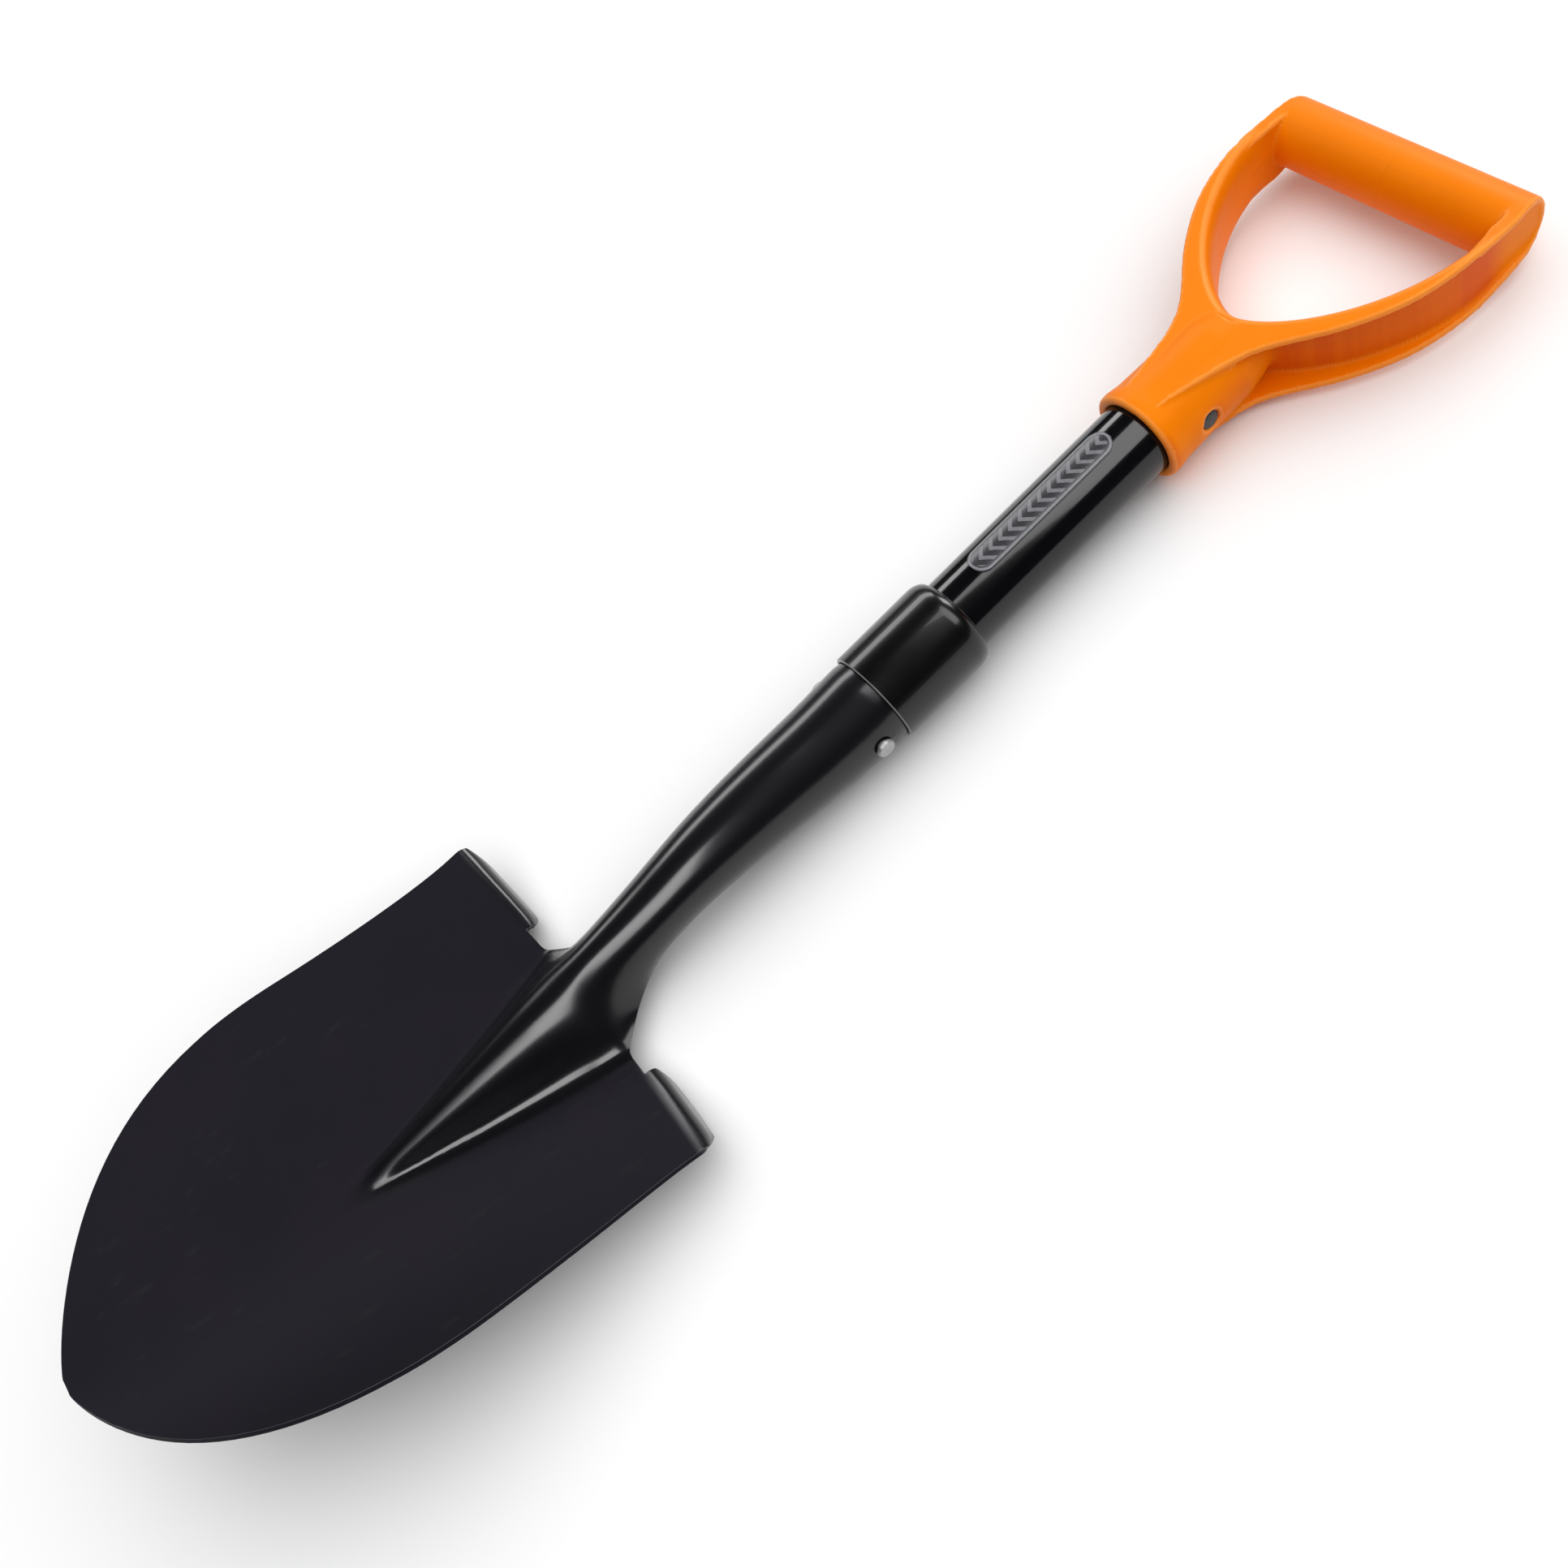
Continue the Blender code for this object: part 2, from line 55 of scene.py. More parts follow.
# %% [markdown]
# ## Where things are
#
# The shovel lies on its back along X. Most of its pieces are round about the shaft's
# own axis, so that axis is the line everything is measured from. It could be typed in as
# a number, but reading it from the tube's box keeps the pieces right if the CAD moves.
# Distances along the shovel are counted from the foot steps, 132 mm below the tube's end.

# %% Measure the shaft axis and the foot steps
MM = 0.001
STEPS_TO_TUBE = 132.0
tube_low, tube_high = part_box("shaft_tube")
AXIS_Z = (tube_low.z + tube_high.z) / 2
STEPS_X = tube_low.x - STEPS_TO_TUBE * MM


def along(distance):
    """X of a point that lies so many millimetres from the foot steps towards the grip."""
    return STEPS_X + distance * MM


def from_steps(spot):
    """A spot's place in millimetres: along from the foot steps, across, and up from the axis."""
    return (spot.x - STEPS_X) / MM, spot.y / MM, (spot.z - AXIS_Z) / MM


print(f"axis {AXIS_Z / MM:.2f} mm up, foot steps at x = {STEPS_X / MM:.2f} mm")

# %% [markdown]
# ## Shader sums in plain Python
#
# A finish is a picture drawn by numbers: noise, masks and mixes. Node by node they are
# long to write, so one small class wraps a node's output and lets it stand in a sum,
# such as 1 - mask. Everything that is not plain arithmetic comes from its node method.

# %% The wire class
class Wire:
    """A node's output that can stand in a Python sum."""
    tree = None

    def __init__(self, socket):
        self.socket = socket

    @classmethod
    def node(cls, kind, settings=None, inputs=None, output=0):
        """Add a node, set it up, fill or link its sockets and return one output."""
        made = cls.tree.nodes.new("ShaderNode" + kind)
        for name, value in (settings or {}).items():
            setattr(made, name, value)
        for name, value in (inputs or {}).items():
            if isinstance(value, cls):
                cls.tree.links.new(value.socket, made.inputs[name])
            else:
                made.inputs[name].default_value = value
        return cls(made.outputs[output])

    def sum(self, operation, first, second=0.0):
        return self.node("Math", {"operation": operation}, {0: first, 1: second})

    def __add__(self, other):
        return self.sum("ADD", self, other)

    def __sub__(self, other):
        return self.sum("SUBTRACT", self, other)

    def __rsub__(self, other):
        return self.sum("SUBTRACT", other, self)

    def __mul__(self, other):
        return self.sum("MULTIPLY", self, other)

    def __abs__(self):
        return self.sum("ABSOLUTE", self)

    __radd__ = __add__
    __rmul__ = __mul__


print("wire class ready")

# %% [markdown]
# ## Words for drawing a finish
#
# Every finish reads its place on the shovel in millimetres, so a scale can be thought of
# as a real size: a noise with a size of 0.9 is the orange peel of a baked enamel. The
# pieces never leave their places, so object coordinates are steady from every side.

# %% Places, noise, masks and mixes
FINISHES = {}


def start_finish(name):
    """A new material: its Principled node, and places in millimetres from foot steps and axis."""
    material = bpy.data.materials.new(name)
    material.use_nodes = True
    Wire.tree = material.node_tree
    objects = Wire.node("TexCoord", output="Object")
    moved = Wire.node("VectorMath", {"operation": "SUBTRACT"},
                      {0: objects, 1: (STEPS_X, 0, AXIS_Z)})
    place = Wire.node("VectorMath", {"operation": "SCALE"}, {0: moved, "Scale": 1 / MM})
    return material, material.node_tree.nodes["Principled BSDF"], place


def split(place, axes):
    """The single numbers of a place, such as its X and Y for the axes "XY"."""
    return [Wire.node("SeparateXYZ", inputs={0: place}, output=axis) for axis in axes]


def noise(place, size, detail=3.0, stretch=(1, 1, 1)):
    """Soft random patches of about the given size in millimetres, 0 to 1."""
    spread = Wire.node("Mapping", {}, {"Vector": place, "Scale": stretch})
    return Wire.node("TexNoise", {}, {"Vector": spread, "Scale": 1 / size, "Detail": detail,
                                      "Roughness": 0.55})


def mask(value, low, high):
    """0 where value is under low, 1 where it is over high, and a smooth step between."""
    return Wire.node("MapRange", {"interpolation_type": "SMOOTHSTEP"},
                     {"Value": value, "From Min": low, "From Max": high})


def mix(share, first, second):
    """The first colour where share is 0 and the second where it is 1."""
    return Wire.node("Mix", {"data_type": "RGBA"}, {0: share, 6: first, 7: second}, 2)


def higher(first, second):
    """The higher of two values, to lay one mask over another."""
    return Wire.node("Math", {"operation": "MAXIMUM"}, {0: first, 1: second})


def solid(red, green, blue):
    """An opaque colour."""
    return (red, green, blue, 1.0)


def bump(height, depth, strength=1.0):
    """Turn a height from 0 to 1 into a relief so many millimetres deep."""
    return Wire.node("Bump", {}, {"Height": height, "Distance": depth * MM, "Strength": strength})


def stored(name):
    """What was measured at each point when the piece was made: its wear, the crest that gets a painted
    highlight, or the channel depth that gets painted shade.
    """
    return Wire.node("Attribute", {"attribute_name": name}, output="Fac")


def finish_with(shader, constants, **wires):
    """Set a Principled node's plain values, then link what changes over the surface."""
    for name, value in constants.items():
        shader.inputs[name].default_value = value
    for name, wire in wires.items():
        Wire.tree.links.new(wire.socket, shader.inputs[name.replace("_", " ")])


print("drawing words ready")

# %% [markdown]
# ## Baked enamel on the blade
#
# The blade is sprayed with black powder and baked. That leaves a satin skin with a fine
# orange peel, faintly uneven in tone. It is glossier on the frog and the neck, where it
# pools round the tight bends, and the gloss reaches further down one flank of the frog
# than down the other. Where it is glossy its colour is also painted near black, as the
# shade on the frog and the neck. It is thin along the cut edge, where the steel starts to shine.

# %% Blade enamel
FROG_FLARE = 0.25
GLOSS_HALF_WIDTH, GLOSS_SHORT_FLANK = 38, 9


def blade_enamel():
    material, shader, place = start_finish("blade_enamel")
    x, y = split(place, "XY")
    clouds = noise(place, 46, 4)
    peel = noise(place, 0.9, 2)
    dust = noise(place, 0.35, 1)
    frog_foot = GLOSS_HALF_WIDTH + FROG_FLARE * x - GLOSS_SHORT_FLANK * mask(y, -4, 4)
    frog = mask(frog_foot - abs(y), 0.0, 5.0) * mask(x, -118, -98)
    neck = mask(x, -7, -2)
    pooled_gloss_and_shade = higher(frog, neck)
    scuffs = mask(noise(place, 5.0, 6, (0.12, 1, 1)), 0.60, 0.74) * (1 - pooled_gloss_and_shade)
    edge = mask(stored("wear") + 0.35 * noise(place, 3.0, 4), 0.55, 0.90)
    coat = mix(clouds, solid(0.0056, 0.0064, 0.0092), solid(0.0122, 0.0102, 0.0138))
    coat = mix(scuffs * 0.25, coat, solid(0.022, 0.022, 0.024))
    # Painted shade: where the enamel pools, the colour is made near black as the shade on the frog and
    # neck; the extra gloss is real.
    coat = mix(pooled_gloss_and_shade * 0.8, coat, solid(0.0024, 0.0023, 0.0026))
    coat = mix(edge * 0.55, coat, solid(0.12, 0.12, 0.13))
    dull = 0.50 + 0.12 * (clouds - 0.5) + 0.06 * dust + 0.06 * scuffs - 0.14 * pooled_gloss_and_shade
    relief = bump(0.7 * peel + 0.3 * dust, 0.03, 0.5)
    finish_with(shader, {"Specular IOR Level": 0.07, "Specular Tint": solid(0.85, 0.80, 1.0),
                         "Coat Roughness": 0.20},
                Base_Color=coat, Roughness=dull, Metallic=edge * 0.5,
                Coat_Weight=pooled_gloss_and_shade * 0.9, Normal=relief)
    return material


FINISHES["blade_steel"] = blade_enamel()
print("finish:", FINISHES["blade_steel"].name)


# %% [markdown]
# ## Gloss on the tube and the collar
#
# The tube has a wet, deep black gloss that shows whatever is round it, broken only by a
# slight wave and by handling marks. The collar is moulded in black plastic: nearly as
# bright, with a softer edge to its highlights. The rims of both are painted lighter, the
# collar's much more: partly polish from wear and partly a painted highlight on their rounding.

# %% Tube enamel and collar moulding
def gloss_black(name, shade, dull_from, dull_to, wave_depth, rim_wear_and_highlight):
    material, shader, place = start_finish(name)
    wave = noise(place, 9.0, 2)
    smear = noise(place, 14.0, 5, (0.35, 1, 1))
    hairs = mask(noise(place, 1.2, 3, (0.03, 1, 1)), 0.66, 0.74)
    edge = mask(stored("wear") + 0.3 * noise(place, 2.5, 4), 0.70, 1.05)
    deep, pale = [solid(*[share * part for part in shade]) for share in (0.6, 1.4)]
    colour = mix(smear, deep, pale)
    # Lighter rims: partly polish from wear, partly a painted highlight on the rounding.
    colour = mix(edge * 0.6, colour, solid(*rim_wear_and_highlight))
    dull = dull_from + (dull_to - dull_from) * smear + 0.04 * hairs + 0.08 * edge
    relief = bump(0.9 * wave + 0.1 * noise(place, 1.1, 2), wave_depth, 0.4)
    finish_with(shader, {"Specular IOR Level": 0.34, "Coat Roughness": 0.05, "Coat IOR": 1.4},
                Base_Color=colour, Roughness=dull, Coat_Weight=0.25 + 0.25 * smear, Normal=relief)
    return material


FINISHES["shaft_black"] = gloss_black("tube_enamel", shade=(0.0025, 0.0025, 0.0032),
                                      dull_from=0.10, dull_to=0.18, wave_depth=0.05,
                                      rim_wear_and_highlight=(0.05, 0.05, 0.055))
FINISHES["collar_black"] = gloss_black("collar_moulding", shade=(0.0020, 0.0020, 0.0020),
                                       dull_from=0.20, dull_to=0.30, wave_depth=0.04,
                                       rim_wear_and_highlight=(0.30, 0.30, 0.30))
print("finishes:", FINISHES["shaft_black"].name, FINISHES["collar_black"].name)


# %% [markdown]
# ## Orange moulding of the grip
#
# The grip is injection moulded in orange plastic. The mould's two halves meet in the
# plane of the D and leave a thin line round its outside. The surface is satin with a
# fine grain, a little lighter where hands and benches have rubbed the edges. Along the
# crest of the hand opening's rims it is painted lighter as a highlight, and in the
# channels it is painted darker as shade. A short line across the middle of the bar shows where it was
# filled.

# %% Grip moulding
PARTING_LINE, GATE_LINE = (0.32, 0.10), (0.30, 0.12)


def grip_moulding():
    material, shader, place = start_finish("grip_moulding")
    x, y, z = split(place, "XYZ")
    flow = noise(place, 30.0, 4, (1, 0.6, 1))
    grain = noise(place, 0.55, 2)
    # Lighter: partly wear on the edges, partly a painted highlight along the crest of the rims.
    rubbed_and_highlight = mask(stored("wear") + 0.7 * stored("crest") + 0.25 * noise(place, 4.0, 4), 0.35, 0.95)
    gate = mask(abs(y), *GATE_LINE) * mask(x, 425, 430)
    parting = higher(mask(abs(z), *PARTING_LINE), gate * 0.7)
    grime = mask(noise(place, 9.0, 6), 0.58, 0.80) * 0.10
    colour = mix(flow, solid(0.86, 0.185, 0.0), solid(0.92, 0.225, 0.0))
    # Painted shade: the channels are coloured darker as the shade inside them.
    colour = mix(stored("channel") * 0.85, colour, solid(0.72, 0.080, 0.006))
    colour = mix(rubbed_and_highlight * 0.5, colour, solid(1.0, 0.36, 0.07))
    colour = mix(grime, colour, solid(0.62, 0.13, 0.006))
    colour = mix(parting * 0.3, colour, solid(0.70, 0.15, 0.004))
    dull = 0.36 + 0.10 * flow + 0.08 * grain + 0.12 * grime - 0.06 * rubbed_and_highlight
    relief = bump(0.5 * grain + 1.5 * parting, 0.06, 0.5)
    finish_with(shader, {"Specular IOR Level": 0.14, "Specular Tint": solid(1.0, 0.60, 0.20)},
                Base_Color=colour, Roughness=dull, Normal=relief)
    return material


FINISHES["grip_orange"] = grip_moulding()
print("finish:", FINISHES["grip_orange"].name)


# %% [markdown]
# ## Small finishes
#
# The rivets are zinc plated wire, dulled by the hammer. The one in the grip is painted
# dark, as the shade of its recess. The plugs inside the tube are cast from a filled resin
# and show flow marks and tiny pores.

# %% Rivet zinc and core resin
def plated(name, dim, bright):
    material, shader, place = start_finish(name)
    y = split(place, "Y")[0]
    spangle = Wire.node("TexVoronoi", {}, {"Vector": place, "Scale": 0.8}, "Distance")
    tarnish = noise(place, 1.6, 5)
    rings = noise(place, 0.25, 2, (1, 6, 1))
    colour = mix(tarnish, solid(dim, dim, dim), solid(bright, bright, bright))
    # Painted shade: towards the middle of its length, where the shank sits in the hole, the rivet is
    # darker.
    colour = mix(mask(abs(y), 16.0, 15.0) * 0.4, colour, solid(0.12, 0.12, 0.12))
    dull = 0.30 + 0.22 * tarnish + 0.10 * spangle
    finish_with(shader, {}, Base_Color=colour, Roughness=dull, Metallic=1 - 0.3 * tarnish,
                Normal=bump(0.6 * tarnish + 0.4 * rings, 0.05))
    return material


def core_resin():
    material, shader, place = start_finish("core_resin")
    flow = noise(place, 6.0, 5, (0.4, 1, 1))
    pores = mask(noise(place, 0.8, 2), 0.66, 0.74)
    colour = mix(flow, solid(0.20, 0.14, 0.075), solid(0.36, 0.28, 0.17))
    colour = mix(pores, colour, solid(0.08, 0.055, 0.03))
    finish_with(shader, {}, Base_Color=colour, Roughness=0.62 + 0.25 * flow,
                Normal=bump(0.6 * flow - pores, 0.12))
    return material


FINISHES["rivet_zinc"] = plated("rivet_zinc", dim=0.28, bright=0.58)
# Painted shade: the grip's rivet is coloured nearly black, as the shade of its recess.
FINISHES["rivet_dark"] = plated("rivet_dark", dim=0.035, bright=0.12)
FINISHES["core"] = core_resin()
print("finishes:", [FINISHES[slot].name for slot in ("rivet_zinc", "rivet_dark", "core")])

# %% [markdown]
# ## Print on the label
#
# The label is a dark film printed with a plain outline and a row of chevrons, which
# stand for no word. The print is drawn in the film's own length and width, as if it were
# peeled off the tube: the width is the turn about the shaft times the film's radius.

# %% Label print
LABEL_MIDDLE, LABEL_HALF_LENGTH, LABEL_HALF_WIDTH, LABEL_RADIUS = 250.25, 36.75, 6.3, 16.4
OUTLINE_INSET, CHEVRON_PITCH, CHEVRON_SLANT = 1.0, 2.6, 0.9


def label_print():
    material, shader, place = start_finish("label_print")
    x, y, z = split(place, "XYZ")
    across = Wire.node("Math", {"operation": "ARCTAN2"}, {0: y, 1: z}) * LABEL_RADIUS
    lengthways = x - LABEL_MIDDLE
    past = higher(abs(lengthways) - (LABEL_HALF_LENGTH - LABEL_HALF_WIDTH), 0.0)
    radius = Wire.node("Math", {"operation": "SQRT"}, {0: past * past + across * across})
    outline = mask(abs(radius - (LABEL_HALF_WIDTH - OUTLINE_INSET)), 0.62, 0.38)
    slant = Wire.node("Math", {"operation": "PINGPONG"},
                      {0: lengthways - CHEVRON_SLANT * abs(across), 1: CHEVRON_PITCH})
    bars = mask(slant, 1.15, 0.90) * mask(radius, LABEL_HALF_WIDTH - 2.0, LABEL_HALF_WIDTH - 2.3)
    printed = higher(outline, bars * 0.8)
    patchy = noise(place, 1.4, 5)
    film = mix(noise(place, 8.0, 3), solid(0.020, 0.020, 0.023), solid(0.040, 0.040, 0.045))
    colour = mix(printed * (0.45 + 0.55 * patchy), film, solid(0.22, 0.22, 0.245))
    dull = 0.24 + 0.16 * printed + 0.08 * patchy
    finish_with(shader, {"Specular IOR Level": 0.5}, Base_Color=colour, Roughness=dull,
                Normal=bump(printed, 0.05, 0.7))
    return material


FINISHES["label_film"] = label_print()
print("finish:", FINISHES["label_film"].name)

# %% [markdown]
# ## Hand tools for modelling
#
# Blender's operators act on whatever is selected, so each step first clears the
# selection and picks one piece. These helpers hold the moves that come back again:
# go into a piece, finish a modifier, and hand a finished piece to the frame.

# %% Modelling helpers
TOUCHING, RINGS_TOUCHING, SHORTEST_REACH = 0.002, 0.005, 0.02


def ramp(value, low, high):
    """0 under low, 1 over high and a straight run between, for either order of the two."""
    return min(max((value - low) / (high - low), 0.0), 1.0)


def pick(piece):
    """Make piece the only selected and active object."""
    bpy.ops.object.select_all(action="DESELECT")
    piece.select_set(True)
    bpy.context.view_layer.objects.active = piece


def edit_all(piece):
    """Go into edit mode with the whole of piece selected."""
    pick(piece)
    bpy.ops.object.mode_set(mode="EDIT")
    bpy.ops.mesh.select_all(action="SELECT")


def leave_edit():
    """Go back to object mode, which also writes the edits into the mesh."""
    bpy.ops.object.mode_set(mode="OBJECT")


def close_up(piece, reach):
    """Merge points that touch and turn every face outwards."""
    edit_all(piece)
    bpy.ops.mesh.remove_doubles(threshold=reach * MM)
    bpy.ops.mesh.normals_make_consistent(inside=False)
    leave_edit()


def press(piece, kind, **settings):
    """Add a modifier and apply it at once."""
    pick(piece)
    modifier = piece.modifiers.new(kind.lower(), kind)
    for name, value in settings.items():
        setattr(modifier, name, value)
    bpy.ops.object.modifier_apply(modifier=modifier.name)


def soften(piece, times, group=""):
    """Relax a mesh that many times, everywhere or as far as a vertex group says."""
    press(piece, "SMOOTH", factor=0.5, iterations=times, vertex_group=group)


def copy_of(node, name):
    """A new piece with a CAD node's shape, its loose triangles joined into one skin."""
    piece = bpy.data.objects.new(name, nodes[node].data.copy())
    bpy.context.collection.objects.link(piece)
    piece.data.materials.clear()
    edit_all(piece)
    bpy.ops.mesh.customdata_custom_splitnormals_clear()
    bpy.ops.mesh.remove_doubles(threshold=TOUCHING * MM)
    bpy.ops.mesh.tris_convert_to_quads(face_threshold=radians(50), shape_threshold=radians(50))
    leave_edit()
    return piece


def store(piece, name, values):
    """Keep one number for each point on the mesh, for the finish to read."""
    piece.data.attributes.new(name, "FLOAT", "POINT").data.foreach_set("value", values)


def measure_wear(piece, full_bend):
    """Store how sharply each point turns outwards: 1 means full_bend radians a millimetre."""
    shape = bmesh.new()
    shape.from_mesh(piece.data)
    values = [0.0] * len(shape.verts)
    for edge in shape.edges:
        if len(edge.link_faces) == 2:
            middle = (edge.verts[0].co + edge.verts[1].co) / 2
            reach = sum((face.calc_center_median() - middle).length for face in edge.link_faces)
            bend = edge.calc_face_angle_signed(0.0) / max(reach / MM, SHORTEST_REACH)
            for vertex in edge.verts:
                values[vertex.index] = max(values[vertex.index], bend / full_bend)
    shape.free()
    store(piece, "wear", [ramp(value, 0.0, 1.0) for value in values])


def hand_over(piece, node, slot, smooth_angle=None, full_bend=0.9, finish=None):
    """Give a finished piece its finish and its place in the frame."""
    pick(piece)
    if smooth_angle is None:
        bpy.ops.object.shade_smooth()
    else:
        bpy.ops.object.shade_smooth_by_angle(angle=radians(smooth_angle))
    measure_wear(piece, full_bend)
    piece.data.materials.clear()
    piece.data.materials.append(FINISHES[finish or slot])
    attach(piece, "root")
    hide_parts(node)
    triangles = sum(len(face.vertices) - 2 for face in piece.data.polygons)
    print(f"{piece.name}: {triangles} triangles")


print("hand tools ready")

# %% [markdown]
# ## Blade, neck and socket
#
# On the real shovel this is one sheet: pressed to a dish, bent back for the feet, folded
# up into the frog and rolled into the socket. It could be drawn again from a plane, but
# the CAD grid already follows the pressing. So it is copied, the corners of its cut edge
# are rounded, and a subdivision makes the rolled surface flow. Gloss shows every small
# step, so two vertex groups then soften the frog and the notch where it becomes the neck.

# %% Round the sheet's edges and smooth the pressing
SHEET_EDGE = 0.55
FROG_SOFTENING, FROG_HALF_WIDTH, NECK_NARROWER = 26, 47, 24
FROG_START, FROG_END, NECK_START, NECK_UNDERSIDE = (-136, -122), (60, 40), (-26, -12), (2, -4)
NOTCH_SOFTENING, NOTCH_START, NOTCH_END = 40, (-24, -8), (48, 26)
NOTCH_SIDE, NOTCH_FLOOR = (19, 11), (-2, 4)
blade = copy_of("blade", "pressed_blade")
press(blade, "BEVEL", width=SHEET_EDGE * MM, segments=2, limit_method="ANGLE", angle_limit=radians(55),
      use_clamp_overlap=True, loop_slide=False)
press(blade, "SUBSURF", levels=1, render_levels=1)
frog = blade.vertex_groups.new(name="frog")
notch = blade.vertex_groups.new(name="notch")
for point in blade.data.vertices:
    x, y, z = from_steps(point.co)
    on_neck = ramp(x, *NECK_START)
    frog_foot = FROG_HALF_WIDTH + FROG_FLARE * x - NECK_NARROWER * on_neck
    share = ramp(frog_foot - abs(y), 0, 6) * ramp(x, *FROG_START) * ramp(x, *FROG_END)
    frog.add([point.index], share * (1 - on_neck * ramp(z, *NECK_UNDERSIDE)), "REPLACE")
    share = ramp(x, *NOTCH_START) * ramp(x, *NOTCH_END)
    notch.add([point.index], share * ramp(abs(y), *NOTCH_SIDE) * ramp(z, *NOTCH_FLOOR), "REPLACE")
soften(blade, FROG_SOFTENING, "frog")
soften(blade, NOTCH_SOFTENING, "notch")
hand_over(blade, "blade", "blade_steel")

# %% [markdown]
# ## Turned pieces
#
# The tube and the collar are round about the shaft. By hand one starts with a circle and
# pulls its edge along ring by ring, making each ring wider or narrower, until the last
# ring meets the first. The merge then closes the wall. A spin of an outline would give
# the same shape, but here every ring is where a lathe tool would stop.

# %% Ring by ring
def turned(name, rings, sides=128):
    """A closed wall through rings of (distance along the shovel, radius), in millimetres."""
    (start, radius), rest = rings[0], rings[1:] + rings[:1]
    bpy.ops.object.select_all(action="DESELECT")
    bpy.ops.mesh.primitive_circle_add(vertices=sides, radius=radius * MM,
                                      location=(along(start), 0, AXIS_Z), rotation=(0, pi / 2, 0))
    piece = bpy.context.object
    piece.name = name
    bpy.ops.object.transform_apply(location=True, rotation=True, scale=True)
    edit_all(piece)
    for place, wide in rest:
        bpy.ops.mesh.extrude_edges_move(TRANSFORM_OT_translate={"value": ((place - start) * MM, 0, 0)})
        bpy.ops.transform.resize(value=(1, wide / radius, wide / radius),
                                 center_override=(along(place), 0, AXIS_Z))
        start, radius = place, wide
    leave_edit()
    close_up(piece, RINGS_TOUCHING)
    return piece


print("lathe ready")

# %% The shaft tube
TUBE_WALL, TUBE_EDGE = 1.8, 0.4
TUBE_RADIUS = (tube_high.z - tube_low.z) / 2 / MM
TUBE_BORE = TUBE_RADIUS - TUBE_WALL
TUBE_END = STEPS_TO_TUBE + (tube_high.x - tube_low.x) / MM
tube = turned("shaft_enamelled_tube", [
    (STEPS_TO_TUBE + TUBE_EDGE, TUBE_RADIUS), (STEPS_TO_TUBE, TUBE_RADIUS - TUBE_EDGE),
    (STEPS_TO_TUBE, TUBE_BORE), (TUBE_END, TUBE_BORE),
    (TUBE_END, TUBE_RADIUS - TUBE_EDGE), (TUBE_END - TUBE_EDGE, TUBE_RADIUS)])
hand_over(tube, "shaft_tube", "shaft_black", 40)

# %% [markdown]
# ## The collar
#
# The collar is a sleeve pushed over the end of the socket. Its lower rim is a narrow
# rounded lip that catches the light, and its upper end closes in on the tube with a long
# shoulder that stops at a thin edge. Those curves are the whole look of it, so they are
# turned as rings and not left to a bevel. The bore has a step where the socket ends.

# %% Turn the collar
collar_low, collar_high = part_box("collar")
COLLAR_START = (collar_low.x - STEPS_X) / MM
COLLAR_END = (collar_high.x - STEPS_X) / MM
COLLAR_RADIUS = (collar_high.z - collar_low.z) / 2 / MM
SOCKET_BORE, SHAFT_BORE, BORE_STEP = 18.7, 16.3, 181.0
EASE, RIM_EASE, RIM_WIDTH = 0.3, 0.2, 0.55
LIP, LIP_STEP = 0.6, 18
SHOULDER_LENGTH, SHOULDER_FALL, SHOULDER_STEP = 6.5, 3.35, 8.4
collar_rings = [(COLLAR_START + LIP, SOCKET_BORE), (COLLAR_START, SOCKET_BORE + EASE)]
for step in range(6):
    turn = radians(LIP_STEP * step)
    collar_rings.append((COLLAR_START + LIP * (1 - cos(turn)),
                         COLLAR_RADIUS - LIP * (1 - sin(turn))))
for step in range(11):
    turn = radians(SHOULDER_STEP * step)
    collar_rings.append((COLLAR_END - EASE - SHOULDER_LENGTH * (1 - sin(turn)),
                         COLLAR_RADIUS - SHOULDER_FALL * (1 - cos(turn))))
collar_rings += [(COLLAR_END, SHAFT_BORE + RIM_WIDTH), (COLLAR_END, SHAFT_BORE + RIM_EASE),
                 (COLLAR_END - EASE, SHAFT_BORE), (BORE_STEP, SHAFT_BORE), (BORE_STEP, SOCKET_BORE)]
collar = turned("joint_collar", collar_rings)
hand_over(collar, "collar", "collar_black", 50)

# %% [markdown]
# ## The D-grip
#
# The moulding has a barrel over the tube, two channelled arms and a round bar. Its edges
# are all rounded, because plastic doesn't fill a sharp corner of a mould. A bevel would
# have to guess at every meeting of channel, barrel and bar. So a copy is wrapped in a
# fine even skin and smoothed, which rounds them all by about a millimetre.

# %% Skin the grip
GRIP_VOXEL = 0.82
grip = copy_of("d_grip", "moulded_grip")
press(grip, "REMESH", mode="VOXEL", voxel_size=GRIP_VOXEL * MM, adaptivity=0.0)
print("grip skin:", len(grip.data.polygons), "faces")

# %% [markdown]
# ## The rims of the hand opening
#
# Fingers wrap round the arms, so the rims of the opening are rounder than the other
# edges. Each point near a rim is measured in the rim's own section: how far it is from
# the opening's wall, and how high it stands. A point outside the quarter ellipse there
# is drawn back onto it, which is what a sculpting brush would do by eye.

# %% Measuring round the hand opening
HAND = Vector((along(400), 0, 0))
PLATE_HALF, BAR_HALF, PLATE_TO_BAR = 16.0, 13.4, (412, 446)


def flattened(spot):
    """The same spot brought down into the plane of the D."""
    return Vector((spot.x, spot.y, 0))


def finder(spots):
    """A tree that finds the nearest of many spots quickly."""
    tree = kdtree.KDTree(len(spots))
    for number, spot in enumerate(spots):
        tree.insert(spot, number)
    tree.balance()
    return tree


